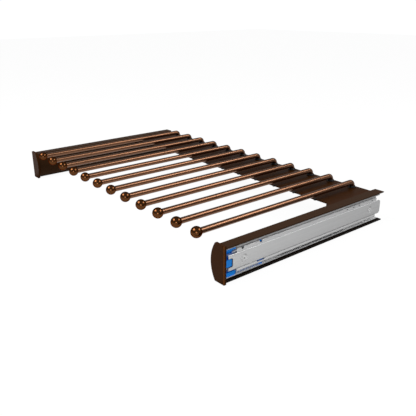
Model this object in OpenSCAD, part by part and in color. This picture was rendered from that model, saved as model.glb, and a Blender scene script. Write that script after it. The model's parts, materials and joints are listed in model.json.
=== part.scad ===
// Pull-out trouser rack: twelve rods on a rear crossbar, carried between two
// curved sides that each hide a full-extension ball-bearing slide.
// Millimetres. X runs to the right, Y to the rear, Z up. The front is at -Y.
// The origin is the bottom centre of the closed rack's bounding box.

/* [Rack] */
// Clear width between the wardrobe's two side panels
clear_w = 764; // [664:1:964]
// Gap between a wardrobe panel and the lips of the rack's side
wall_gap = 1; // [0.5:0.5:3]
// Length of a side, from the face of its front plate to its rear end
side_l = 426.5; // [400:0.5:480]
// Number of trouser rods
rod_count = 12; // [6:1:14]
// Distance from the rack's outer edge to the axis of its first rod
rod_edge = 71; // [66:0.5:90]
// Length of a side that stays inside the wardrobe when the rack is pulled out
stay_in = 26.5; // [26.5:5:126.5]

/* [Sides] */
// Height of a side profile
side_h = 61.5; // [60:0.5:66]
// Depth of a side at its top and bottom edges
shoulder_d = 21; // [20:0.5:24]
// How far the curved face swells beyond those edges
crown_d = 9; // [8:0.1:13]
// Wall thickness of the side profile
side_t = 2; // [1.6:0.1:2.4]
// Thickness of the front plate
cap_t = 5.3; // [4:0.1:7]
// How far the front plate stands proud of the profile
cap_proud = 3.2; // [1:0.1:4]
// Rounding of the front plate's edge
cap_round = 0.9; // [0.5:0.1:1.5]

/* [Rods] */
// Diameter of a rod
rod_d = 11.5; // [8:0.5:12]
// Diameter of the ball on a rod's front end
ball_d = 20.5; // [16:0.5:26]
// Distance from the front plates' faces back to the centres of the balls
ball_set = 1.5; // [0:0.5:10]
// Height of a rod's axis above the crossbar's top face
rod_rise = 11; // [10.5:0.1:14]
// Centre-line radius of the bend at a rod's rear end
bend_r = 7.5; // [6:0.1:8]
// Distance from the rack's rear end to the axis of a rod's leg
leg_set = 10; // [9:0.1:14]

/* [Crossbar] */
// Depth of the crossbar plate
bar_d = 128; // [90:1:160]
// Thickness of the crossbar plate
bar_t = 2; // [1.5:0.1:3]
// How far the crossbar's top face lies below the top of the sides
bar_drop = 6.3; // [4:0.1:9]

/* [Slides] */
// Gap between a slide and the floor of its bay
slide_gap = 0.75; // [0.5:0.05:1.2]
// Gap between a slide and the roof of its bay
slide_head = 3.75; // [2.5:0.25:6]
// Thickness of a slide
slide_t = 12.7; // [12.5:0.1:14]
// Depth of the slide's outer face behind the side's lips
slide_recess = 4.7; // [2:0.1:5]
// Thickness of the slides' steel sheet
sheet_t = 1.2; // [1:0.1:1.3]
// Distance from the front plate's face to the first wall screw
fix_front = 48; // [44:0.5:60]
// Distance from the side's rear end to the second wall screw
fix_rear = 36.5; // [34:0.5:60]
// Bore for a wall screw
fix_bore = 4.2; // [3.5:0.1:4.6]

/* [Hidden] */
$fn = 64;

// One overrun serves every cut
over = 1;
// Clearance between pieces that are fixed to each other
fit = 0.1;
// Clearance between pieces that move past each other or only meet end to end
run_gap = 0.3;

// Overall places
rack_w = clear_w - 2 * wall_gap;
half_w = rack_w / 2;
rear_y = (side_l - ball_set + ball_d / 2) / 2;
front_y = rear_y - side_l;
ball_y = front_y + ball_set;
travel = side_l - stay_in;
cap_back_y = front_y + cap_t;
mid_z = side_h / 2 + cap_proud;
side_top_z = side_h + cap_proud;

// Curved face of a side: an arc through both shoulders and the crown
arc_r = (pow(side_h / 2, 2) + pow(crown_d, 2)) / (2 * crown_d);
arc_u = shoulder_d + crown_d - arc_r;

// Bay that holds the slide, and the screw ports in the chamber behind it
bay_d = slide_recess + slide_t;
bay_h = side_h - 2 * side_t;
slide_h = bay_h - slide_gap - slide_head;
web_back = bay_d + side_t;
port_bore = 3;
port_wall = 1.2;
port_slit = 1.4;
port_h = 16;
port_u = web_back + port_bore / 2;
peg_l = 10;

// Rods, their collars, buffers and nuts
bar_z = side_top_z - bar_drop;
bar_low_z = bar_z - bar_t;
rod_z = bar_z + rod_rise;
leg_y = rear_y - leg_set;
rod_pitch = (rack_w - 2 * rod_edge) / (rod_count - 1);
stud_d = 6;
stud_l = 8;
collar_d = 17;
collar_top_d = 13.6;
collar_h = 3.8;
collar_rim = 1;
nut_flat = 10;
nut_h = 5;
nut_flange_d = 12.6;
nut_flange_t = 1.2;
buffer_w = 4.5;
buffer_l = 4;
buffer_wall = 0.6;
buffer_nose = 1.6;

// Crossbar plate, its turned-down edges and its end brackets
bar_front_y = rear_y - bar_d;
bar_flange = 14;
bar_end_flange = 32;
bracket_d = 10.3;
bracket_h = 34;
bracket_wall = 2.5;
bracket_nose = 7;
bracket_nose_w = 10;
bracket_u = shoulder_d + crown_d + bracket_d;
bracket_back_y = rear_y - run_gap;
bracket_screw_d = 4;
bracket_screw_z = mid_z + bracket_screw_d / 2;
bracket_head_d = 8;
bracket_head_t = 2.4;
bracket_tip = 4;
bracket_boss_d = 9;
bracket_screw_set = 28;

// Slide members as half heights from the slide's middle, and depths from its outer face
rack_hh = slide_h / 2;
slide_z = cap_proud + side_t + slide_gap + rack_hh;
rack_lip = 2.2;
rack_mouth_hh = rack_hh - rack_lip;
rack_s = 0.5;
rack_lip_bend = 0.8;
rack_lip_round = sheet_t + rack_lip_bend;
rack_bend = 0.4;
rack_round = sheet_t + rack_bend;
outer_gap = 4.3;
mid_hh = rack_hh - sheet_t - outer_gap;
mid_lip = 6.3;
mid_mouth_hh = mid_hh - mid_lip;
mid_s = 0.8;
mid_lip_bend = 1.2;
mid_lip_round = sheet_t + mid_lip_bend;
mid_bend = 0.2;
mid_round = sheet_t + mid_bend;
cage_t = 0.5;
layer_gap = cage_t + 2 * run_gap;
mid_back_s = slide_t - sheet_t - layer_gap;
inner_gap = 5.6;
wall_hh = mid_hh - sheet_t - inner_gap;
wall_lip = 3;
wall_bend = 0.4;
wall_round = sheet_t + wall_bend;
wall_back_s = mid_back_s - sheet_t - layer_gap;

// Lengths of the slide members, from the front plate's face
rack_rail_set = 5;
mid_front = 32.5;
mid_rear_set = 15;
wall_front = 14;
wall_rear_set = 2;
wall_tongue = 12;
wall_tongue_round = 6;
notch_l = 9.5;
notch_hh = 8;
notch_round = 3;

rack_rail_front_y = cap_back_y + run_gap;
rack_rail_rear_y = rear_y - rack_rail_set;
mid_front_y = front_y + mid_front;
mid_rear_y = rear_y - mid_rear_set;
wall_front_y = front_y + wall_front;
wall_rear_y = rear_y - wall_rear_set;
wall_flange_rear_y = wall_rear_y - wall_tongue;

// Wall screw places and the bushes in their dimples
fix_y = [front_y + fix_front, rear_y - fix_rear];
dimple_d = 15;
dimple_bottom_d = 10.5;
dimple_depth = 1.4;
bush_d = 5.6;
bush_flange_d = 6.8;
bush_l = 5;

// Countersunk screws that hold the rack rail to the side
slide_screw_d = 3.5;
slide_screw_head_d = 6.4;
slide_screw_tip = 4.5;
slide_screw_count = 3;
slide_screw_end = 56;
slide_screw_pitch = (side_l - 2 * slide_screw_end) / (slide_screw_count - 1);

// Balls and cages
outer_ball_d = outer_gap - 3 * fit;
outer_ball_h = mid_hh + outer_gap / 2;
outer_ball_s = 6;
inner_ball_d = inner_gap - 3 * fit;
inner_ball_h = wall_hh + inner_gap / 2;
inner_ball_s = 5.4;
cage_margin = 8;
cage_l = side_l - mid_front - rack_rail_set - travel / 2 - 2 * cage_margin;
ball_pairs = 5;
pair_gap = 10.4;
pair_end_share = 0.6;
pair_pitch = cage_l / (ball_pairs + pair_end_share);
ball_fit = 0.15;
inner_cage_y = wall_front_y + travel / 4 + cage_margin;
outer_cage_y = mid_front_y + travel / 4 + cage_margin;

// Moulded front stop in the rack rail's mouth
stop_spine = 4;
stop_arm_l = 22;
stop_tongue_l = 12;
stop_tongue_gap = 4.7;
stop_tongue_hh = wall_hh - wall_lip - stop_tongue_gap;
stop_tongue_s = 1;
stop_tongue_corner = 1.5;
stop_tongue_round = min(stop_tongue_corner, stop_tongue_hh / 2);
stop_arm_s = 3.2;
stop_arm_tip = 2;
stop_depth = 10;
stop_back_s = 8.8;
stop_top_h = 4.6;
stop_bottom_h = 7.4;
stop_finger_l = 62;
stop_finger_s = 9.2;
stop_finger_d = 2;
stop_finger_h = 1.2;
stop_head_l = 7;
stop_head_s = 5;
stop_head_h = 3;

// Moulded guides, sight holes, catch fingers and lances of the middle rail
guide_at = 45.5;
guide_l = 18;
guide_low = 1;
guide_h = 4.6;
guide_s = 4.3;
guide_depth = 4.6;
guide_notch_h = 2.2;
sight_d = 5.8;
sight_at = [12.5, 53.7];
sight_tilt = 48;
catch_low = 3.5;
catch_set = 0.3;
catch_l = 10.5;
catch_h = 1.2;
catch_tip = 4;
lance_shares = [0.01, 0.22, 0.4, 0.83];
lance_l = 4;
lance_lip_h = 2.4;
lance_s = 6;
lance_d = 2.6;
lance_t = 0.8;
lance_rise = outer_gap / 2 + cage_t;

// Colours
mocha = [0.24, 0.17, 0.12];
mocha_dark = [0.17, 0.11, 0.08];
copper_brown = [0.36, 0.22, 0.14];
zinc = [0.72, 0.72, 0.73];
steel = [0.82, 0.82, 0.84];
blue = [0.08, 0.36, 0.85];
black = [0.04, 0.04, 0.04];
white = [0.95, 0.95, 0.95];

// Axis of rod i, counted from the left
function rod_x(i) = -half_w + rod_edge + (i - 1) * rod_pitch;

// Pieces are drawn on the right and mirrored for the left
module on_side(side) {
    if (side == "right") children();
    else mirror([1, 0, 0]) children();
}

// A section drawn in X and Z, run along Y
module run_y(from, to) {
    translate([0, to, 0]) rotate([90, 0, 0]) linear_extrude(to - from) children();
}

// A section drawn in Y and Z, run along X
module run_x(from, to) {
    translate([from, 0, 0]) rotate([90, 0, 90]) linear_extrude(to - from) children();
}

// Section frame of the right side: x is the depth behind the lips, y the height from the middle
module side_frame() {
    translate([half_w, mid_z]) mirror([1, 0]) children();
}

// Section frame of the slide: x is the depth from its outer face, y the height from its middle
module slide_frame() {
    translate([half_w - slide_recess, slide_z]) mirror([1, 0]) children();
}

// A shape drawn along +Z, turned to run inwards from depth s of the right slide
module inward(s, y, h = 0) {
    translate([half_w - slide_recess - s, y, slide_z + h]) rotate([0, -90, 0]) children();
}

// Rectangle from s0 to s1, hh to each side of the middle, with corners of radius r0 and r1
module rounded_strip(s0, s1, hh, r0, r1) {
    translate([s0 + r0, -hh]) square([s1 - s0 - r0 - r1, 2 * hh]);
    translate([s0, -(hh - r0)]) square([s1 - s0 - r1, 2 * (hh - r0)]);
    translate([s0 + r0, -(hh - r1)]) square([s1 - s0 - r0, 2 * (hh - r1)]);
    for (h = [-1, 1]) {
        translate([s0 + r0, h * (hh - r0)]) circle(r0);
        translate([s1 - r1, h * (hh - r1)]) circle(r1);
    }
}

// C-shaped sheet section with its web at s1 and its mouth, between two lips, at s0
module c_section(s0, s1, hh, mouth_hh, r0, r1) {
    difference() {
        rounded_strip(s0, s1, hh, r0, r1);
        rounded_strip(s0 + sheet_t, s1 - sheet_t, hh - sheet_t, r0 - sheet_t, r1 - sheet_t);
        translate([s0 - over, -mouth_hh]) square([sheet_t + 2 * over, 2 * mouth_hh]);
    }
}

// Outline of a side, grown or shrunk on its curved face, top and bottom
module side_outline(grow) {
    intersection() {
        translate([arc_u, 0]) circle(arc_r + grow, $fn = 128);
        translate([0, -(side_h / 2 + grow)])
            square([shoulder_d + crown_d + grow, side_h + 2 * grow]);
    }
}

module port_rings() {
    for (h = [-port_h, port_h]) translate([port_u, h]) circle(port_bore / 2 + port_wall);
}

module port_holes() {
    for (h = [-port_h, port_h]) translate([port_u, h]) {
        circle(port_bore / 2);
        translate([0, -port_slit / 2]) square([port_bore / 2 + port_wall + over, port_slit]);
    }
}

// Hollow side profile: slide bay on the outside, D-shaped chamber behind the curved face
module side_section() {
    difference() {
        side_outline(0);
        translate([-over, -bay_h / 2]) square([bay_d + over, bay_h]);
        difference() {
            intersection() {
                side_outline(-side_t);
                translate([web_back, -side_h / 2]) square([shoulder_d + crown_d, side_h]);
            }
            port_rings();
        }
        intersection() {
            port_holes();
            side_outline(-side_t);
        }
    }
}

// Places of the countersunk screws along a side
function slide_screw_y() =
    [for (i = [0:slide_screw_count - 1]) front_y + slide_screw_end + i * slide_screw_pitch];

// Places of the screws along a bracket
function bracket_screw_y() =
    [bar_front_y + bracket_screw_set, bracket_back_y - bracket_screw_set];

module side_profile(side) {
    color(mocha) on_side(side) difference() {
        run_y(cap_back_y, rear_y) side_frame() side_section();
        for (y = slide_screw_y()) inward(slide_t - fit, y)
            cylinder(d = slide_screw_d + 2 * fit, h = side_t + 2 * fit);
        for (y = bracket_screw_y())
            translate([half_w - web_back - side_t, y, bracket_screw_z]) rotate([0, -90, 0])
                cylinder(d = bracket_screw_d + 2 * fit, h = bracket_d + crown_d);
    }
}

// Section with the two corners at its low x end rounded
module front_rounded(depth, low, high, r) {
    translate([r, low]) square([depth - r, high - low]);
    translate([0, low + r]) square([depth, high - low - 2 * r]);
    for (y = [low + r, high - r]) translate([r, y]) circle(r);
}

// Front plate: the side's outline with a rounded front edge, on two pegs
module front_plate(side) {
    plate_r = arc_r + cap_proud;
    color(mocha_dark) on_side(side) {
        intersection() {
            translate([half_w - arc_u, front_y, mid_z]) rotate([-90, 0, 0])
                rotate_extrude($fn = 128) intersection() {
                    rotate(90) front_rounded(cap_t, -plate_r, plate_r, cap_round);
                    translate([0, -over]) square([plate_r + over, cap_t + 2 * over]);
                }
            translate([0, front_y, 0]) run_x(0, half_w)
                front_rounded(cap_t, mid_z - side_h / 2 - cap_proud, side_top_z + cap_proud, cap_round);
            translate([0, front_y, -over]) linear_extrude(side_top_z + cap_proud + 2 * over)
                mirror([1, 0]) rotate(90) front_rounded(cap_t, -half_w, half_w, cap_round);
        }
        for (h = [-port_h, port_h])
            translate([half_w - port_u, cap_back_y - fit, mid_z + h]) rotate([-90, 0, 0])
                cylinder(d = port_bore - 2 * fit, h = peg_l + fit);
    }
}

// Steel plate that carries the rods, with its rear and end edges turned down
module crossbar() {
    half_bar = half_w - bracket_u;
    color(mocha_dark) difference() {
        union() {
            run_x(-half_bar, half_bar) difference() {
                translate([bar_front_y, bar_z - bar_flange]) square([bar_d, bar_flange]);
                translate([bar_front_y - over, bar_z - bar_flange - over])
                    square([bar_d - bar_t + over, bar_flange - bar_t + over]);
            }
            for (side = ["left", "right"]) on_side(side) run_y(bar_front_y, rear_y)
                translate([half_bar - bar_t, bar_z - bar_end_flange]) square([bar_t, bar_end_flange]);
        }
        for (i = [1:rod_count]) translate([rod_x(i), leg_y, bar_low_z - over])
            cylinder(d = stud_d + 2 * fit, h = bar_t + 2 * over);
        for (side = ["left", "right"], y = bracket_screw_y()) on_side(side)
            translate([half_bar - bar_t - over, y, bracket_screw_z]) rotate([0, 90, 0])
                cylinder(d = bracket_screw_d + 2 * fit, h = bar_t + 2 * over);
    }
}

// Moulded bracket between the crossbar's end and the curved face
module crossbar_bracket(side) {
    low_h = bar_z - mid_z - bracket_h;
    top_h = bar_z - mid_z;
    front = bar_front_y - bracket_nose;
    color(mocha_dark) on_side(side) difference() {
        union() {
            difference() {
                run_y(front, bracket_back_y) side_frame() difference() {
                    translate([0, low_h]) square([bracket_u, bracket_h]);
                    translate([arc_u, 0]) circle(arc_r, $fn = 128);
                }
                run_y(front + bracket_wall, bracket_back_y - bracket_wall) side_frame() difference() {
                    translate([0, low_h - over])
                        square([bracket_u - bracket_wall, bracket_h - bracket_wall + over]);
                    translate([arc_u, 0]) circle(arc_r + bracket_wall, $fn = 128);
                }
            }
            for (y = bracket_screw_y()) intersection() {
                translate([half_w - shoulder_d, y, bracket_screw_z]) rotate([0, -90, 0])
                    cylinder(d = bracket_boss_d, h = bracket_u - shoulder_d);
                run_y(front, bracket_back_y) side_frame() difference() {
                    translate([0, low_h]) square([bracket_u, bracket_h]);
                    translate([arc_u, 0]) circle(arc_r, $fn = 128);
                }
            }
        }
        for (y = bracket_screw_y())
            translate([half_w - shoulder_d, y, bracket_screw_z]) rotate([0, -90, 0])
                cylinder(d = bracket_screw_d + 2 * fit, h = bracket_u);
        translate([half_w - bracket_u, front, mid_z + low_h - over])
            linear_extrude(bracket_h + 2 * over)
                polygon([[-over, -over], [bracket_nose_w, -over], [bracket_nose_w, 0],
                         [0, bracket_nose], [-over, bracket_nose]]);
    }
}

// Rod: straight run, bend and leg, with a thinner stud through the crossbar
module rod(i) {
    straight_y = leg_y - bend_r;
    color(copper_brown) translate([rod_x(i), 0, 0]) {
        translate([0, ball_y, rod_z]) rotate([-90, 0, 0]) cylinder(d = rod_d, h = straight_y - ball_y);
        translate([0, straight_y, rod_z - bend_r]) rotate([90, 0, 90])
            rotate_extrude(angle = 90) translate([bend_r, 0]) circle(d = rod_d);
        translate([0, leg_y, bar_z]) cylinder(d = rod_d, h = rod_rise - bend_r);
        translate([0, leg_y, bar_low_z - stud_l]) cylinder(d = stud_d, h = stud_l + bar_t + fit);
    }
}

// Ball with a blind socket for the rod's end
module ball_tip(i) {
    color(mocha_dark) translate([rod_x(i), ball_y, rod_z]) rotate([-90, 0, 0])
        rotate_extrude($fn = 96) difference() {
            intersection() {
                circle(d = ball_d, $fn = 96);
                translate([0, -ball_d / 2]) square([ball_d / 2, ball_d]);
            }
            translate([-over, 0]) square([rod_d / 2 + fit + over, ball_d]);
        }
}

// Flared collars round the rods' legs
module rod_collars() {
    color(black) for (i = [1:rod_count]) translate([rod_x(i), leg_y, bar_z])
        rotate_extrude() polygon([
            [rod_d / 2 + fit, 0], [collar_d / 2, 0], [collar_d / 2, collar_rim],
            [collar_top_d / 2, collar_h], [rod_d / 2 + fit, collar_h]
        ]);
}

// Soft clips on the crossbar's front edge, one under each rod
module rod_buffers() {
    color(black) for (i = [1:rod_count])
        translate([rod_x(i) - buffer_w / 2, bar_front_y, 0]) difference() {
            translate([0, -buffer_nose, bar_low_z - buffer_wall])
                cube([buffer_w, buffer_l + buffer_nose, bar_t + 2 * buffer_wall]);
            translate([-over, -fit, bar_low_z - fit])
                cube([buffer_w + 2 * over, buffer_l + fit + over, bar_t + 2 * fit]);
        }
}

// Flanged nuts under the crossbar
module rod_nuts() {
    color(zinc) for (i = [1:rod_count]) translate([rod_x(i), leg_y, bar_low_z]) difference() {
        union() {
            translate([0, 0, -nut_flange_t]) cylinder(d = nut_flange_d, h = nut_flange_t);
            translate([0, 0, -nut_h]) cylinder(d = nut_flat / cos(30), h = nut_h, $fn = 6);
        }
        translate([0, 0, -nut_h - over]) cylinder(d = stud_d + 2 * fit, h = nut_h + 2 * over);
    }
}

// Screws through the crossbar's ends and brackets into the sides
module bracket_screws() {
    color(zinc) for (side = ["left", "right"], y = bracket_screw_y()) on_side(side)
        translate([half_w - bracket_u - bar_t, y, bracket_screw_z]) {
            rotate([0, -90, 0]) cylinder(d = bracket_head_d, h = bracket_head_t);
            rotate([0, 90, 0])
                cylinder(d = bracket_screw_d, h = bar_t + bracket_d + bracket_tip);
        }
}

// Countersunk screws through the rack rail into the side
module slide_screws() {
    color(zinc) for (side = ["left", "right"], y = slide_screw_y()) on_side(side)
        inward(slide_t - sheet_t, y) {
            cylinder(d1 = slide_screw_head_d, d2 = slide_screw_d, h = sheet_t);
            cylinder(d = slide_screw_d, h = sheet_t + side_t + slide_screw_tip);
        }
}

// Large channel fixed inside the side, open to the wardrobe's wall
module rack_rail(side) {
    color(zinc) on_side(side) difference() {
        run_y(rack_rail_front_y, rack_rail_rear_y) slide_frame()
            c_section(rack_s, slide_t, rack_hh, rack_mouth_hh, rack_lip_round, rack_round);
        for (y = slide_screw_y()) inward(slide_t - sheet_t, y) {
            cylinder(d1 = slide_screw_head_d + 2 * fit, d2 = slide_screw_d + 2 * fit, h = sheet_t);
            translate([0, 0, -over]) cylinder(d = slide_screw_d + 2 * fit, h = sheet_t + 2 * over);
        }
        run_y(rack_rail_front_y - over, front_y + mid_front) slide_frame()
            translate([-over, rack_mouth_hh - over])
                square([rack_s + sheet_t + over, rack_lip - sheet_t + over]);
    }
}

// Places of the lances in the stretch of the middle rail behind the outer cage
function lance_y() = [for (share = lance_shares)
    outer_cage_y + cage_l + share * (mid_rear_y - outer_cage_y - cage_l)];

// Middle channel, with sight holes, lances, a catch finger before its upper lip and a notch in
// its lower lip that shows the guide
module middle_rail(side) {
    color(zinc) on_side(side) {
        difference() {
            union() {
                run_y(mid_front_y, mid_rear_y) slide_frame()
                    c_section(mid_s, mid_back_s, mid_hh, mid_mouth_hh, mid_lip_round, mid_round);
                inward(mid_s + catch_set, mid_front_y, mid_hh - catch_low) linear_extrude(sheet_t)
                    polygon([[0, over], [0, -catch_l], [catch_h / 2, -catch_l],
                             [catch_h, -catch_tip], [catch_h, over]]);
            }
            for (a = sight_at) inward(mid_s + mid_lip_round, mid_front_y + a, mid_hh - mid_lip_round)
                rotate([0, sight_tilt + 90, 0]) translate([0, 0, -sight_d / 2])
                    cylinder(d = sight_d, h = sight_d / 2 + mid_lip_round + over);
            inward(-over, mid_front_y + guide_at, -mid_mouth_hh - guide_notch_h)
                cube([guide_notch_h + over, guide_l, mid_s + sheet_t + over + fit]);
            for (y = slide_screw_y()) inward(mid_back_s - sheet_t - over, y)
                cylinder(d = slide_screw_head_d + 2 * fit, h = sheet_t + 2 * over);
            for (y = lance_y()) {
                inward(-over, y, mid_hh - mid_lip / 2) translate([-lance_lip_h / 2, 0, 0])
                    cube([lance_lip_h, lance_l, mid_s + sheet_t + 2 * over]);
                translate([half_w - slide_recess - lance_s - lance_d, y, slide_z + mid_hh - sheet_t - over])
                    cube([lance_d, lance_l, sheet_t + 2 * over]);
            }
        }
        for (y = lance_y())
            translate([half_w - slide_recess - lance_s - lance_d, y + lance_l, slide_z + mid_hh - sheet_t])
                cube([lance_d, lance_t, sheet_t + lance_rise]);
    }
}

// Small channel screwed to the wardrobe's wall, with its flat web outwards
module wall_rail(side) {
    color(zinc) on_side(side) difference() {
        union() {
            run_y(wall_front_y, wall_flange_rear_y) slide_frame()
                translate([wall_back_s, 0]) mirror([1, 0])
                    c_section(0, wall_back_s, wall_hh, wall_hh - wall_lip, wall_round, wall_round);
            inward(0, wall_flange_rear_y) linear_extrude(sheet_t) {
                translate([-wall_hh, 0]) square([2 * wall_hh, wall_tongue - wall_tongue_round]);
                translate([-(wall_hh - wall_tongue_round), -over])
                    square([2 * (wall_hh - wall_tongue_round), wall_tongue + over]);
                for (h = [-1, 1]) translate([h * (wall_hh - wall_tongue_round),
                                             wall_tongue - wall_tongue_round])
                    circle(wall_tongue_round);
            }
            for (y = fix_y) inward(0, y) cylinder(
                d1 = dimple_d + 2 * sheet_t, d2 = dimple_bottom_d + 2 * sheet_t,
                h = dimple_depth + sheet_t);
        }
        for (y = fix_y) inward(0, y) {
            translate([0, 0, -fit]) cylinder(d = bush_d + fit, h = dimple_depth + sheet_t + over);
            cylinder(d1 = dimple_d, d2 = dimple_bottom_d, h = dimple_depth);
        }
        inward(-over, wall_front_y) linear_extrude(sheet_t + 2 * over) {
            translate([-notch_hh, -over]) square([2 * notch_hh, notch_l - notch_round + over]);
            translate([-(notch_hh - notch_round), 0]) square([2 * (notch_hh - notch_round), notch_l]);
            for (h = [-1, 1]) translate([h * (notch_hh - notch_round), notch_l - notch_round])
                circle(notch_round);
        }
    }
}

// Nylon bushes that centre the wall screws
module wall_bushes() {
    color(white) for (side = ["left", "right"], y = fix_y) on_side(side) inward(0, y) difference() {
        union() {
            cylinder(d = bush_flange_d, h = dimple_depth);
            cylinder(d = bush_d - fit, h = bush_l);
        }
        translate([0, 0, -over]) cylinder(d = fix_bore, h = bush_l + 2 * over);
    }
}

// Moulded stop in the rack rail's front end: a spine and a back, an arm in each race, a tongue
// between the wall rail's tongues, and a thin finger with a head in the lower race
module front_stop(side) {
    spine_y = rack_rail_front_y + run_gap;
    arm_hh = rack_hh - sheet_t - run_gap;
    back_hh = arm_hh - rack_round + sheet_t;
    arm_end_y = spine_y + stop_spine + stop_arm_l;
    color(blue) on_side(side) {
        inward(stop_arm_s, spine_y) translate([-arm_hh, 0, 0])
            cube([2 * arm_hh, stop_spine, stop_depth - stop_arm_s]);
        inward(stop_back_s, spine_y) translate([-back_hh, 0, 0])
            cube([2 * back_hh, stop_spine + stop_arm_l - stop_arm_tip, slide_t - sheet_t - stop_back_s]);
        for (h = [-1, 1]) inward(stop_arm_s, spine_y) linear_extrude(stop_depth - stop_arm_s) {
            arm_low = arm_hh - (h > 0 ? stop_top_h : stop_bottom_h);
            mirror([h > 0 ? 0 : 1, 0]) polygon([
                [arm_low, 0], [arm_hh, 0], [arm_hh, stop_spine + stop_arm_l - stop_arm_tip],
                [arm_hh - stop_arm_tip, stop_spine + stop_arm_l],
                [arm_low, stop_spine + stop_arm_l]
            ]);
        }
        inward(stop_finger_s, arm_end_y - over) translate([-arm_hh, 0, 0])
            cube([stop_finger_h, stop_finger_l + over, stop_finger_d]);
        inward(stop_head_s, arm_end_y + stop_finger_l - stop_head_l) translate([-arm_hh, 0, 0])
            cube([stop_head_h, stop_head_l, stop_finger_s + stop_finger_d - stop_head_s]);
        inward(stop_tongue_s, spine_y) linear_extrude(stop_depth - stop_tongue_s) {
            translate([-stop_tongue_hh, 0])
                square([2 * stop_tongue_hh, stop_spine + stop_tongue_l - stop_tongue_round]);
            translate([-(stop_tongue_hh - stop_tongue_round), 0])
                square([2 * (stop_tongue_hh - stop_tongue_round), stop_spine + stop_tongue_l]);
            for (h = [-1, 1]) translate([h * (stop_tongue_hh - stop_tongue_round),
                                         stop_spine + stop_tongue_l - stop_tongue_round])
                circle(stop_tongue_round);
        }
    }
}

// Moulded wedges inside the middle rail, one in each race
module middle_guides(side) {
    guide_hh = mid_hh - sheet_t - run_gap;
    color(blue) on_side(side) for (h = [-1, 1])
        inward(guide_s, mid_front_y + guide_at) linear_extrude(guide_depth)
            mirror([h > 0 ? 0 : 1, 0]) polygon([
                [guide_hh, 0], [guide_hh - guide_low, 0], [guide_hh - guide_h, guide_l], [guide_hh, guide_l]
            ]);
}

// Places of the balls along a cage: pairs, spread evenly about its middle
function ball_at() = [for (i = [0:ball_pairs - 1], j = [-1, 1])
    cage_l / 2 + (i - (ball_pairs - 1) / 2) * pair_pitch + j * pair_gap / 2];

// Cage: a channel of thin sheet with a row of pockets in each race
module cage(side, y, front_s, back_s, ball_s, ball_h, ball_r) {
    color(steel) on_side(side) difference() {
        run_y(y, y + cage_l) slide_frame() {
            translate([back_s - cage_t, -ball_h - cage_t / 2])
                square([cage_t, 2 * ball_h + cage_t]);
            for (h = [-ball_h, ball_h]) translate([front_s, h - cage_t / 2])
                square([back_s - front_s, cage_t]);
        }
        for (a = ball_at()) translate([half_w - slide_recess - ball_s, y + a, 0])
            cylinder(r = ball_r + ball_fit, h = 2 * slide_z);
    }
}

module cage_balls(side, y, ball_s, ball_h, ball_r) {
    color(steel) on_side(side) for (a = ball_at(), h = [-ball_h, ball_h])
        inward(ball_s, y + a, h) sphere(r = ball_r, $fn = 24);
}

module outer_cage(side) {
    cage(side, outer_cage_y, rack_s + sheet_t + run_gap, slide_t - sheet_t - run_gap,
         outer_ball_s, outer_ball_h, outer_ball_d / 2);
}

module outer_balls(side) {
    cage_balls(side, outer_cage_y, outer_ball_s, outer_ball_h, outer_ball_d / 2);
}

module inner_cage(side) {
    cage(side, inner_cage_y, mid_s + sheet_t + 4 * run_gap, mid_back_s - sheet_t - run_gap,
         inner_ball_s, inner_ball_h, inner_ball_d / 2);
}

module inner_balls(side) {
    cage_balls(side, inner_cage_y, inner_ball_s, inner_ball_h, inner_ball_d / 2);
}

for (side = ["left", "right"]) {
    side_profile(side);
    front_plate(side);
    crossbar_bracket(side);
    rack_rail(side);
    middle_rail(side);
    wall_rail(side);
    front_stop(side);
    middle_guides(side);
    outer_cage(side);
    inner_cage(side);
    outer_balls(side);
    inner_balls(side);
}
for (i = [1:rod_count]) {
    rod(i);
    ball_tip(i);
}
crossbar();
rod_collars();
rod_buffers();
rod_nuts();
bracket_screws();
slide_screws();
wall_bushes();
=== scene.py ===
import json
import math

import bmesh
import bpy
from mathutils import Matrix, Vector

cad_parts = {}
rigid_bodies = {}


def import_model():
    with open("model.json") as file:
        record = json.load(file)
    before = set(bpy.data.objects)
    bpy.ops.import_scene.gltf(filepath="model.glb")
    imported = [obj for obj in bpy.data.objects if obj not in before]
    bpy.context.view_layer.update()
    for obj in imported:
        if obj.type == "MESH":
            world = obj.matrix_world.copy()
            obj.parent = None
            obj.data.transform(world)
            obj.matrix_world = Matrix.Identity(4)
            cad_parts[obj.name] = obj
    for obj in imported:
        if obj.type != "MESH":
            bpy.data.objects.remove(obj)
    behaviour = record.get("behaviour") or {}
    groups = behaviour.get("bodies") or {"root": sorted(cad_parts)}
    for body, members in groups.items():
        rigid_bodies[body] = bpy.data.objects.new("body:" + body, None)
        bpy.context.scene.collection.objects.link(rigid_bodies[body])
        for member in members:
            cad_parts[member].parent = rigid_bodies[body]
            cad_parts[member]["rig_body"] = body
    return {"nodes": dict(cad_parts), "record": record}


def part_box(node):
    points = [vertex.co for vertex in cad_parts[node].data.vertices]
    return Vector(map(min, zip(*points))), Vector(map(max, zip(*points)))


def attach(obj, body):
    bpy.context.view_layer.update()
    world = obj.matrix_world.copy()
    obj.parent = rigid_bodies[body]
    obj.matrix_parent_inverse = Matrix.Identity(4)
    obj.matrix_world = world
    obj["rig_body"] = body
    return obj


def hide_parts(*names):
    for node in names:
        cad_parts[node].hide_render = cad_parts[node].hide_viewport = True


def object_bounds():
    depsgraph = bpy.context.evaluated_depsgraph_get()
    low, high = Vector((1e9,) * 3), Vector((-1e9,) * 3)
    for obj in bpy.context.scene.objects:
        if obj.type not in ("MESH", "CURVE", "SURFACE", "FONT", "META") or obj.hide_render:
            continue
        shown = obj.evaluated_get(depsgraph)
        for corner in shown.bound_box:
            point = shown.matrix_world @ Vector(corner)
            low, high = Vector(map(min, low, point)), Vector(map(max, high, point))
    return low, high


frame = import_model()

CAD_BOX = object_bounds()
NODES = frame["nodes"]
SIDES = ("left", "right")
MM = 0.001
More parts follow.
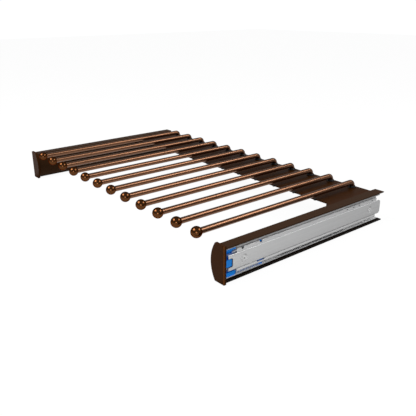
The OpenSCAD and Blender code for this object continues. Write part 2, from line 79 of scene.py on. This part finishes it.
PLAIN = (1, 1, 1)


# Materials

# Noise seldom leaves this stretch of its values
NOISE_LOW, NOISE_HIGH = 0.3, 0.7
# Share of the fine lines in a streaked finish, and of the clouding
LINE_SHARE, CLOUD_SHARE = 0.7, 0.3
# How much smoother and how much rougher than its mean a finish gets
STREAKED_SPREAD = (0.05, 0.06)
MOULDED_SPREAD = (0.04, 0.05)
# Scale of the clouding along each axis
STREAKED_CLOUD = (9, 3, 9)
MOULDED_CLOUD = (40, 40, 40)
COAT_ROUGHNESS = 0.2
# Lengths over which a painted shade step in height and a plate's painted highlight rim fade, and how
# much lighter the painted highlight makes the rim
STEP_FADE, RIM_FADE = 0.5 * MM, 0.4 * MM
RIM_HIGHLIGHT_GAIN = 2.4


class Graph:
    """A small helper for building a material's nodes."""

    def __init__(self, name):
        self.mat = bpy.data.materials.new(name)
        self.mat.use_nodes = True
        self.tree = self.mat.node_tree
        self.tree.nodes.clear()
        self.shader = self.node("ShaderNodeBsdfPrincipled")
        out = self.node("ShaderNodeOutputMaterial")
        self.join(self.shader, "BSDF", out, "Surface")
        self.coords = self.node("ShaderNodeTexCoord")

    def node(self, kind, **values):
        n = self.tree.nodes.new(kind)
        for key, value in values.items():
            setattr(n, key, value)
        return n

    def join(self, a, a_out, b, b_in):
        self.tree.links.new(a.outputs[a_out], b.inputs[b_in])

    def set(self, **values):
        for key, value in values.items():
            self.shader.inputs[key.replace("_", " ")].default_value = value
        return self

    def noise(self, scale, detail, rough):
        m = self.node("ShaderNodeMapping")
        m.inputs["Scale"].default_value = scale
        self.join(self.coords, "Object", m, "Vector")
        n = self.node("ShaderNodeTexNoise")
        n.inputs["Scale"].default_value = 1.0
        n.inputs["Detail"].default_value = detail
        n.inputs["Roughness"].default_value = rough
        self.join(m, "Vector", n, "Vector")
        return n

    def place(self):
        """The point's place in the frame as separate X, Y and Z."""
        n = self.node("ShaderNodeSeparateXYZ")
        self.join(self.coords, "Object", n, "Vector")
        return n

    def ramp(self, source, stops, output="Fac"):
        r = self.node("ShaderNodeValToRGB")
        el = r.color_ramp.elements
        while len(el) > 1:
            el.remove(el[-1])
        el[0].position, el[0].color = stops[0][0], (*stops[0][1], 1)
        for place, colour in stops[1:]:
            e = el.new(place)
            e.color = (*colour, 1)
        self.join(source, output, r, "Fac")
        return r

    def spread(self, source, low, high, output="Fac", start=NOISE_LOW, end=NOISE_HIGH):
        m = self.node("ShaderNodeMapRange")
        m.inputs["From Min"].default_value = start
        m.inputs["From Max"].default_value = end
        m.inputs["To Min"].default_value = low
        m.inputs["To Max"].default_value = high
        self.join(source, output, m, "Value")
        return m

    def scale(self, colours, factor, output="Result"):
        """Multiplies the base colour by a factor that varies over the surface."""
        m = self.node("ShaderNodeVectorMath", operation="SCALE")
        self.join(colours, "Color", m, "Vector")
        self.join(factor, output, m, "Scale")
        self.join(m, "Vector", self.shader, "Base Color")

    def bump(self, source, height):
        b = self.node("ShaderNodeBump")
        b.inputs["Strength"].default_value = 1.0
        b.inputs["Distance"].default_value = height
        self.join(source, "Fac", b, "Height")
        self.join(b, "Normal", self.shader, "Normal")


def shade(colour, factor):
    return tuple(min(1.0, c * factor) for c in colour)


def streaked(name, colour, metallic, rough, vary, scale, bump_mm, coat=0.0, level=0.5, tint=PLAIN,
             ior=1.5, painted_shade_step=None):
    """Metal or coating with fine lines along one axis and slow, faint clouding. A step of painted shade
    is a height and how much of the colour shows below and above it; the darker side is painted shade."""
    g = Graph(name).set(Metallic=metallic, Coat_Weight=coat, Coat_Roughness=COAT_ROUGHNESS,
                        Specular_IOR_Level=level, Specular_Tint=(*tint, 1), IOR=ior)
    lines = g.noise(scale, 4.0, 0.6)
    cloud = g.noise(STREAKED_CLOUD, 2.0, 0.5)
    mix = g.node("ShaderNodeMath", operation="MULTIPLY_ADD")
    mix.inputs[1].default_value = LINE_SHARE
    g.join(lines, "Fac", mix, 0)
    part = g.node("ShaderNodeMath", operation="MULTIPLY")
    part.inputs[1].default_value = CLOUD_SHARE
    g.join(cloud, "Fac", part, 0)
    g.join(part, "Value", mix, 2)
    stops = [(0.32, shade(colour, 1 - vary)), (0.5, colour), (0.68, shade(colour, 1 + vary))]
    colours = g.ramp(mix, stops, "Value")
    g.join(colours, "Color", g.shader, "Base Color")
    # Painted shade: the colour is scaled below and above a height
    if painted_shade_step:
        height, below, above = painted_shade_step
        g.scale(colours, g.spread(g.place(), below, above, "Z", height, height + STEP_FADE))
    smoother, rougher = STREAKED_SPREAD
    g.join(g.spread(mix, rough - smoother, rough + rougher, "Value"), "Result", g.shader, "Roughness")
    g.bump(lines, bump_mm * MM)
    return g.mat


def moulded(name, colour, rough, vary=0.06, grain=1400, bump_mm=0.012, metallic=0.0, level=0.5,
            edge=PLAIN, ior=1.5, rim=None):
    """Moulded or coated surface with a fine pebble and slow, faint clouding. Beyond the rim, which is
    a distance from the middle and a place along Y, the colour is lighter as a painted highlight."""
    g = Graph(name).set(Metallic=metallic, Specular_IOR_Level=level, Specular_Tint=(*edge, 1), IOR=ior)
    pebble = g.noise((grain, grain, grain), 2.0, 0.5)
    cloud = g.noise(MOULDED_CLOUD, 3.0, 0.55)
    stops = [(NOISE_LOW, shade(colour, 1 - vary)), (NOISE_HIGH, shade(colour, 1 + vary))]
    colours = g.ramp(cloud, stops)
    g.join(colours, "Color", g.shader, "Base Color")
    # Painted highlight: the colour is lighter along the outer front rim
    if rim:
        rim_x, rim_y = rim
        place = g.place()
        aside = g.node("ShaderNodeMath", operation="ABSOLUTE")
        g.join(place, "X", aside, 0)
        outer = g.spread(aside, 0.0, RIM_HIGHLIGHT_GAIN, "Value", rim_x - RIM_FADE, rim_x)
        front = g.spread(place, 1.0, 0.0, "Y", rim_y, rim_y + RIM_FADE)
        painted_highlight = g.node("ShaderNodeMath", operation="MULTIPLY_ADD")
        painted_highlight.inputs[2].default_value = 1.0
        g.join(outer, "Result", painted_highlight, 0)
        g.join(front, "Result", painted_highlight, 1)
        g.scale(colours, painted_highlight, "Value")
    smoother, rougher = MOULDED_SPREAD
    g.join(g.spread(cloud, rough - smoother, rough + rougher), "Result", g.shader, "Roughness")
    g.bump(pebble, bump_mm * MM)
    return g.mat


PROFILE_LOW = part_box("side_profile_right")[0].z
RAIL_MIDDLE = (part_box("rack_rail_right")[0].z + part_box("rack_rail_right")[1].z) / 2
PLATE_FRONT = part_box("front_plate_right")[0].y
PLATE_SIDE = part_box("front_plate_right")[1].x
# Height of the painted shade along the foot of the side profiles, and how far the front plates' painted
# highlight rim reaches in
PAINTED_SHADE_HEIGHT = 2 * MM
RIM_X, RIM_Y = 0.8 * MM, 1.6 * MM

MAT = {
    # Side profiles: painted shade, the lowest 2 mm keep 12 percent of the colour
    "brown_aluminium": streaked(
        "brown_aluminium", (0.043, 0.0190, 0.0078), metallic=0.0, rough=0.42, vary=0.14,
        scale=(700, 5, 700), bump_mm=0.006, level=0.35, tint=(0.8, 0.45, 0.25), ior=1.22,
        painted_shade_step=(PROFILE_LOW + PAINTED_SHADE_HEIGHT, 0.12, 1.0)),
    # Front plates: painted highlight along the outer front rim
    "brown_moulding": moulded(
        "brown_moulding", (0.044, 0.0142, 0.0034), rough=0.42, vary=0.08, level=0.35,
        edge=(0.8, 0.45, 0.2), ior=1.18, rim=(PLATE_SIDE - RIM_X, PLATE_FRONT + RIM_Y)),
    "brown_steel": moulded(
        "brown_steel", (0.039, 0.0124, 0.0022), rough=0.45, vary=0.08, grain=700, bump_mm=0.02,
        level=0.4, edge=(0.8, 0.45, 0.2), ior=1.2),
    "copper_aluminium": streaked(
        "copper_aluminium", (0.225, 0.101, 0.049), metallic=1.0, rough=0.29, vary=0.06,
        scale=(900, 6, 900), bump_mm=0.0006, coat=0.3),
    "brown_gloss": moulded(
        "brown_gloss", (0.130, 0.050, 0.018), rough=0.17, vary=0.10, grain=300, bump_mm=0.002,
        metallic=1.0, edge=(0.35, 0.25, 0.2)),
    "black_moulding": moulded(
        "black_moulding", (0.006, 0.0055, 0.0055), rough=0.42, vary=0.10, level=0.3),
    "zinc_steel": streaked(
        "zinc_steel", (0.755, 0.755, 0.755), metallic=0.60, rough=0.42, vary=0.05,
        scale=(600, 8, 600), bump_mm=0.003),
    # Rack and middle rails: a lighter copy of the zinc as painted highlight, with painted shade leaving
    # 82 percent of the colour above their middle height
    "zinc_painted_highlight_and_shade": streaked(
        "zinc_painted_highlight_and_shade", (0.98, 0.98, 0.98), metallic=0.40, rough=0.34, vary=0.02,
        scale=(600, 8, 600), bump_mm=0.003, painted_shade_step=(RAIL_MIDDLE, 1.0, 0.82)),
    "bright_steel": streaked(
        "bright_steel", (0.70, 0.70, 0.71), metallic=1.0, rough=0.22, vary=0.04,
        scale=(300, 300, 300), bump_mm=0.002),
    "blue_moulding": moulded(
        "blue_moulding", (0.010, 0.30, 1.0), rough=0.36, vary=0.06, level=0.35, edge=(0.5, 0.7, 1)),
    "white_moulding": moulded("white_moulding", (0.96, 0.96, 0.95), rough=0.4, vary=0.02),
}

slot_of = {s["node"]: s["material_slot"] for s in frame["record"]["subparts"]}
for name, obj in NODES.items():
    # The rack and middle rails take the zinc copy with painted highlight and painted shade
    finish = "zinc_painted_highlight_and_shade" if name.startswith(("middle_rail", "rack_rail")) else slot_of[name]
    obj.data.materials.clear()
    obj.data.materials.append(MAT[finish])


# Rounded edges of the folded and moulded pieces

ROUNDING = {"crossbar": 0.3 * MM, "rod_buffers": 0.2 * MM}
for side in SIDES:
    ROUNDING["crossbar_bracket_" + side] = 0.4 * MM
    ROUNDING["front_stop_" + side] = 0.25 * MM
    ROUNDING["middle_guides_" + side] = 0.25 * MM
# Points nearer than this are one, faces flatter than this are one, and sharper edges are rounded
WELD_REACH = 0.002 * MM
FLAT_ANGLE = math.radians(0.5)
SHARP_ANGLE = math.radians(35)


def soften(obj, width):
    """Rounds every sharp edge of a piece by the same small width."""
    weld = obj.modifiers.new("weld", "WELD")
    weld.merge_threshold = WELD_REACH
    flat = obj.modifiers.new("flat", "DECIMATE")
    flat.decimate_type = "DISSOLVE"
    flat.angle_limit = FLAT_ANGLE
    bevel = obj.modifiers.new("bevel", "BEVEL")
    bevel.width = width
    bevel.segments = 2
    bevel.limit_method = "ANGLE"
    bevel.angle_limit = SHARP_ANGLE
    obj.modifiers.new("shading", "WEIGHTED_NORMAL")


for name, width in ROUNDING.items():
    soften(NODES[name], width)


# Fasteners, with their sizes read from the pieces that they replace

SCREW_SIDES, NUT_SIDES = 36, 72
FASTENER_SHARP_ANGLE = math.radians(30)
# A screw's core, point, thread pitch and runout, in shank radii
CORE, POINT, PITCH, RUNOUT = 0.72, 0.12, 0.8, 0.2
# Length of a screw's point in shank radii, and its limit as a share of the screw's length
POINT_LENGTH, POINT_LIMIT = 3, 0.4
ROWS_PER_TURN = 6
# Height of a head's dome and of a countersunk head's rim, in head heights
DOME, SUNK_RIM = 0.72, 0.1
# Flat middle of the dome in head radii, and the rows that draw the dome
CROWN, DOME_ROWS = 0.4, 6
# A recess's width and reach in head radii, and its depth in head heights
RECESS_WIDTH, DOMED_REACH, SUNK_REACH, RECESS_DEPTH = 0.26, 0.46, 0.5, 0.6
# The recess's floor against its top: its reach, and the share of the width that doesn't taper
FLOOR_REACH, FLOOR_WIDTH = 0.45, 0.6
CUT_OVER = 0.2 * MM
# Points beyond the first share of the largest radius are on the rim, within the second on the shank
ON_RIM, ON_SHANK = 0.98, 0.75
# Points nearer than these to a screw's top or a nut's end belong to that face
AT_TOP, AT_END = 0.2 * MM, 0.1 * MM
# A nut's chamfers: at its flange's edge and foot, in its bore and round its outer end
FLANGE_EDGE, FLANGE_FOOT, FLANGE_STEP = 0.45, 0.99, 0.1 * MM
BORE_CHAMFER, END_BORE_CHAMFER = 0.3 * MM, 0.5 * MM
END_FLAT, END_MIDDLE, END_MIDDLE_SHARE, END_SHARE = 0.7 * MM, 0.35 * MM, 0.95, 0.86


def loose_parts(node):
    """The points of each separate solid of a CAD node."""
    mesh = NODES[node].data
    keys = [tuple(round(c, 6) for c in v.co) for v in mesh.vertices]
    group = {k: k for k in keys}

    def root(k):
        while group[k] != k:
            group[k] = group[group[k]]
            k = group[k]
        return k

    for face in mesh.polygons:
        first = root(keys[face.vertices[0]])
        for i in face.vertices:
            group[root(keys[i])] = first
    parts = {}
    for k in group:
        parts.setdefault(root(k), []).append(Vector(k))
    return list(parts.values())


def middle(points, axis):
    values = [p[axis] for p in points]
    return (min(values) + max(values)) / 2


def ringed(bm, profile, sides, closed=False):
    """Rings along +Z from (height, radius) pairs, where a radius may be a function of the angle."""
    rows = []
    for z, r in profile:
        row = []
        for k in range(sides):
            a = 2 * math.pi * k / sides
            d = r(a) if callable(r) else r
            row.append(bm.verts.new((d * math.cos(a), d * math.sin(a), z)))
        rows.append(row)
    pairs = list(zip(rows, rows[1:])) + ([(rows[-1], rows[0])] if closed else [])
    for low, high in pairs:
        for k in range(sides):
            n = (k + 1) % sides
            bm.faces.new((low[k], low[n], high[n], high[k]))
    if not closed:
        bm.faces.new(list(reversed(rows[0])))
        bm.faces.new(rows[-1])


def threaded(core, crest, pitch, start, end):
    """Rows of a screw thread between two heights."""
    rows = []
    steps = int((end - start) / pitch * ROWS_PER_TURN)
    for k in range(steps + 1):
        z = start + (end - start) * k / steps

        def radius(a, z=z):
            wave = (z / pitch - a / (2 * math.pi)) % 1
            return core + (crest - core) * (1 - abs(2 * wave - 1))
        rows.append((z, radius))
    return rows


def cross_cutter(width, reach, top, depth):
    """Tapered cross that cuts a driver's recess."""
    bm = bmesh.new()
    rows = []
    for z, grow in ((top, 1.0), (top - depth, FLOOR_REACH)):
        w, r = width / 2 * (FLOOR_WIDTH + (1 - FLOOR_WIDTH) * grow), reach * grow
        outline = ((r, -w), (r, w), (w, w), (w, r), (-w, r), (-w, w),
                   (-r, w), (-r, -w), (-w, -w), (-w, -r), (w, -r), (w, -w))
        rows.append([bm.verts.new((x, y, z)) for x, y in outline])
    upper, lower = rows
    for k in range(len(upper)):
        n = (k + 1) % len(upper)
        bm.faces.new((lower[k], lower[n], upper[n], upper[k]))
    bm.faces.new(upper)
    bm.faces.new(list(reversed(lower)))
    return bm


def to_mesh(bm, name):
    bmesh.ops.recalc_face_normals(bm, faces=bm.faces)
    mesh = bpy.data.meshes.new(name)
    bm.to_mesh(mesh)
    bm.free()
    return mesh


def to_object(bm, name):
    obj = bpy.data.objects.new(name, to_mesh(bm, name))
    bpy.context.scene.collection.objects.link(obj)
    return obj


def screw_mesh(head_r, head_h, shank_r, length, countersunk):
    """Cross-recess screw along +Z with its head's top at zero, domed or countersunk."""
    core = CORE * shank_r
    tip = min(POINT_LENGTH * shank_r, POINT_LIMIT * length)
    profile = [(-length, POINT * shank_r), (-length + tip, core)]
    profile += threaded(core, shank_r, PITCH * shank_r, -length + tip, -head_h - RUNOUT * shank_r)
    profile += [(-head_h, shank_r)]
    if countersunk:
        profile += [(-SUNK_RIM * head_h, head_r), (0, head_r)]
    else:
        dome_h = DOME * head_h
        profile += [(-head_h, head_r), (-dome_h, head_r)]
        for k in range(1, DOME_ROWS + 1):
            a = k * math.pi / (2 * DOME_ROWS)
            profile.append((-dome_h * (1 - math.sin(a)), head_r * (CROWN + (1 - CROWN) * math.cos(a))))
    bm = bmesh.new()
    ringed(bm, profile, SCREW_SIDES)
    obj = to_object(bm, "screw_blank")
    reach = (SUNK_REACH if countersunk else DOMED_REACH) * head_r
    cutter = cross_cutter(RECESS_WIDTH * head_r, reach, CUT_OVER, CUT_OVER + RECESS_DEPTH * head_h)
    tool = to_object(cutter, "recess_tool")
    cut = obj.modifiers.new("recess", "BOOLEAN")
    cut.operation = "DIFFERENCE"
    cut.solver = "EXACT"
    cut.object = tool
    bpy.context.view_layer.update()
    mesh = bpy.data.meshes.new_from_object(obj.evaluated_get(bpy.context.evaluated_depsgraph_get()))
    bpy.data.objects.remove(obj)
    bpy.data.objects.remove(tool)
    return mesh


def placed(node, finish, mesh, places):
    """One piece from copies of a mesh, put in place of a CAD node."""
    bm = bmesh.new()
    for where in places:
        count = len(bm.verts)
        bm.from_mesh(mesh)
        bm.verts.ensure_lookup_table()
        bmesh.ops.transform(bm, matrix=where, verts=bm.verts[count:])
    obj = to_object(bm, node + "_detailed")
    obj.data.shade_smooth()
    obj.data.set_sharp_from_angle(angle=FASTENER_SHARP_ANGLE)
    obj.data.materials.append(MAT[finish])
    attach(obj, NODES[node]["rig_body"])
    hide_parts(node)


def along_x(points):
    """Place of a screw that lies along X, then its head's radius and height, its shank's radius and
    its length."""
    cy, cz = middle(points, 1), middle(points, 2)
    radii = [(math.hypot(p.y - cy, p.z - cz), p.x) for p in points]
    head_r = max(r for r, _ in radii)
    low, high = min(x for _, x in radii), max(x for _, x in radii)
    rim = [x for r, x in radii if r > ON_RIM * head_r]
    rim_x = sum(rim) / len(rim)
    out = 1 if abs(rim_x - high) < abs(rim_x - low) else -1
    top = high if out > 0 else low
    shank = [(r, x) for r, x in radii if r < ON_SHANK * head_r]
    shank_r = max(r for r, _ in shank)
    head_h = min(abs(x - top) for _, x in shank if abs(x - top) > AT_TOP)
    turn = Vector((0, 0, 1)).rotation_difference(Vector((out, 0, 0))).to_matrix().to_4x4()
    return Matrix.Translation((top, cy, cz)) @ turn, head_r, head_h, shank_r, high - low


def nut_mesh(points):
    """Flanged hexagon nut with chamfers and its top at zero, from the points of the plain one."""
    cx, cy = middle(points, 0), middle(points, 1)
    low, high = min(p.z for p in points), max(p.z for p in points)
    radii = [(math.hypot(p.x - cx, p.y - cy), p.z) for p in points]
    flange_r = max(r for r, _ in radii)
    corner_r = max(r for r, z in radii if z < low + AT_END)
    bore_r = min(r for r, _ in radii)
    flange_t = high - min(z for r, z in radii if r > ON_RIM * flange_r)
    end = low - high

    def hexagon(a):
        return corner_r * math.cos(math.pi / 6) / math.cos(a % (math.pi / 3) - math.pi / 6)

    def chamfered(limit):
        return lambda a: min(hexagon(a), limit)

    profile = [(0, bore_r + BORE_CHAMFER), (0, flange_r), (-FLANGE_EDGE * flange_t, flange_r),
               (-flange_t, FLANGE_FOOT * corner_r), (-flange_t - FLANGE_STEP, hexagon),
               (end + END_FLAT, hexagon), (end + END_MIDDLE, chamfered(END_MIDDLE_SHARE * corner_r)),
               (end, chamfered(END_SHARE * corner_r)), (end, bore_r + END_BORE_CHAMFER),
               (end + END_BORE_CHAMFER, bore_r), (-BORE_CHAMFER, bore_r)]
    bm = bmesh.new()
    ringed(bm, profile, NUT_SIDES, closed=True)
    return to_mesh(bm, "nut_blank")


def nut_place(points):
    return Matrix.Translation((middle(points, 0), middle(points, 1), max(p.z for p in points)))


for node, finish, countersunk in (("bracket_screws", "brown_steel", False),
                                  ("slide_screws", "zinc_steel", True)):
    screws = [along_x(points) for points in loose_parts(node)]
    mesh = screw_mesh(*screws[0][1:], countersunk)
    placed(node, finish, mesh, [screw[0] for screw in screws])

nuts = loose_parts("rod_nuts")
placed("rod_nuts", "zinc_steel", nut_mesh(nuts[0]), [nut_place(points) for points in nuts])


# Stage, light and camera

# What the camera sees of the floor: its glow and its paper
FLOOR_GLOW, PAPER = 1.03, 0.95
# The floor's gloss darkens towards the rear as painted shade; the fade's two ends along Y lie this far
# from the middle
SHEEN_REACH = 0.28
# Where the painted shade strip in the floor's gloss under a side starts and ends to fade, from its
# middle, and its share of the sheen
STRIP_START, STRIP_END, STRIP_SHARE = 0.011, 0.018, 0.1
ROOM_COLOUR = (0.96, 0.98, 1.0, 1)
# Strength of the room: the light that it gives, and what the camera sees
ROOM_LIGHT, ROOM_SEEN = 0.28, 1.06


def paper_floor(size, z, shadow, sheen, bounce, painted_shade_x):
    """Large floor: white with a faint shadow to the camera, bright in gloss but for painted shade, a
    strip under each side at the given X and a fade darker towards the rear, and a plain grey to soft
    light."""
    mesh = bpy.data.meshes.new("floor")
    h = size / 2
    mesh.from_pydata([(-h, -h, z), (h, -h, z), (h, h, z), (-h, h, z)], [], [(0, 1, 2, 3)])
    obj = bpy.data.objects.new("floor", mesh)
    bpy.context.scene.collection.objects.link(obj)
    mat = bpy.data.materials.new("floor_paper")
    mat.use_nodes = True
    nodes, links = mat.node_tree.nodes, mat.node_tree.links
    nodes.clear()
    rays = nodes.new("ShaderNodeLightPath")
    out = nodes.new("ShaderNodeOutputMaterial")
    where = nodes.new("ShaderNodeSeparateXYZ")
    links.new(nodes.new("ShaderNodeNewGeometry").outputs["Position"], where.inputs["Vector"])

    def diffuse(value):
        n = nodes.new("ShaderNodeBsdfDiffuse")
        n.inputs["Color"].default_value = (value, value, value, 1)
        return n.outputs["BSDF"]

    def glow(value):
        n = nodes.new("ShaderNodeEmission")
        n.inputs["Strength"].default_value = value
        return n

    def fade(source, start, end, first, last):
        value = nodes.new("ShaderNodeMapRange")
        value.inputs["From Min"].default_value = start
        value.inputs["From Max"].default_value = end
        value.inputs["To Min"].default_value = first
        value.inputs["To Max"].default_value = last
        links.new(source, value.inputs["Value"])
        return value.outputs["Result"]

    def work(operation, *values):
        n = nodes.new("ShaderNodeMath")
        n.operation = operation
        for k, value in enumerate(values):
            links.new(value, n.inputs[k])
        return n.outputs["Value"]

    def mix(factor, a, b):
        n = nodes.new("ShaderNodeMixShader")
        if isinstance(factor, float):
            n.inputs["Fac"].default_value = factor
        else:
            links.new(factor, n.inputs["Fac"])
        links.new(a, n.inputs[1])
        links.new(b, n.inputs[2])
        return n.outputs["Shader"]

    gloss = glow(1.0)
    # Painted shade: a dark strip in the floor's gloss under each side
    aside = work("ABSOLUTE", where.outputs["X"])
    strip = work("MAXIMUM",
                 fade(aside, painted_shade_x + STRIP_START, painted_shade_x + STRIP_END, STRIP_SHARE, 1.0),
                 fade(aside, painted_shade_x - STRIP_END, painted_shade_x - STRIP_START, 1.0, STRIP_SHARE))
    # Painted shade: the floor's gloss darkens towards the rear
    along = fade(where.outputs["Y"], -SHEEN_REACH, SHEEN_REACH, *sheen)
    links.new(work("MULTIPLY", strip, along), gloss.inputs["Strength"])
    seen = mix(shadow, glow(FLOOR_GLOW).outputs["Emission"], diffuse(PAPER))
    soft = mix(rays.outputs["Is Glossy Ray"], diffuse(bounce), gloss.outputs["Emission"])
    links.new(mix(rays.outputs["Is Camera Ray"], soft, seen), out.inputs["Surface"])
    mesh.materials.append(mat)


def studio_room():
    """A dim, even room that is white where the camera sees it."""
    world = bpy.data.worlds.new("studio")
    bpy.context.scene.world = world
    world.use_nodes = True
    nodes, links = world.node_tree.nodes, world.node_tree.links
    room = nodes["Background"]
    room.inputs["Color"].default_value = ROOM_COLOUR
    rays = nodes.new("ShaderNodeLightPath")
    level = nodes.new("ShaderNodeMapRange")
    level.inputs["To Min"].default_value = ROOM_LIGHT
    level.inputs["To Max"].default_value = ROOM_SEEN
    links.new(rays.outputs["Is Camera Ray"], level.inputs["Value"])
    links.new(level.outputs["Result"], room.inputs["Strength"])


def softbox(name, place, target, width, height, power):
    data = bpy.data.lights.new(name, "AREA")
    data.shape = "RECTANGLE"
    data.size, data.size_y = width, height
    data.energy = power
    obj = bpy.data.objects.new(name, data)
    bpy.context.scene.collection.objects.link(obj)
    obj.location = place
    aim = Vector(target) - Vector(place)
    obj.rotation_mode = "QUATERNION"
    obj.rotation_quaternion = aim.to_track_quat("-Z", "Y")


# The floor's gloss carries painted shade: a strip under each side, darker towards the rear
paper_floor(size=14.0, z=-0.0004, shadow=0.07, sheen=(0.85, 0.48), bounce=0.32, painted_shade_x=CAD_BOX[1][0])
studio_room()
softbox("front_left", (-0.55, -1.40, 1.80), (0, 0, 0), width=1.5, height=1.0, power=34)
softbox("rear_right", (1.15, 1.22, 1.56), (0, 0, 0.05), width=1.2, height=0.7, power=16)
softbox("camera_side", (1.75, -1.30, 0.50), (0.2, 0, 0.03), width=0.7, height=0.5, power=7)

# The photograph's camera, fitted to measured points of the picture
CAMERA_PLACE = (0.9460, -0.6977, 0.41605)
AZ, EL, ROLL = (math.radians(v) for v in (50.996, 20.77, -0.334))
FOCAL_PX, IMAGE_PX, SENSOR = 531.696, 416, 36.0
ahead = Vector((-math.sin(AZ) * math.cos(EL), math.cos(AZ) * math.cos(EL), -math.sin(EL)))
across = ahead.cross(Vector((0, 0, 1))).normalized()
upward = across.cross(ahead)
right = across * math.cos(ROLL) + upward * math.sin(ROLL)
up = -across * math.sin(ROLL) + upward * math.cos(ROLL)
cam_data = bpy.data.cameras.new("camera")
cam_data.sensor_width = SENSOR
cam_data.lens = FOCAL_PX / IMAGE_PX * SENSOR
cam = bpy.data.objects.new("camera", cam_data)
bpy.context.scene.collection.objects.link(cam)
turn = Matrix((right, up, -ahead)).transposed().to_4x4()
cam.matrix_world = Matrix.Translation(CAMERA_PLACE) @ turn
bpy.context.scene.camera = cam

view = bpy.context.scene.view_settings
view.view_transform = "Standard"
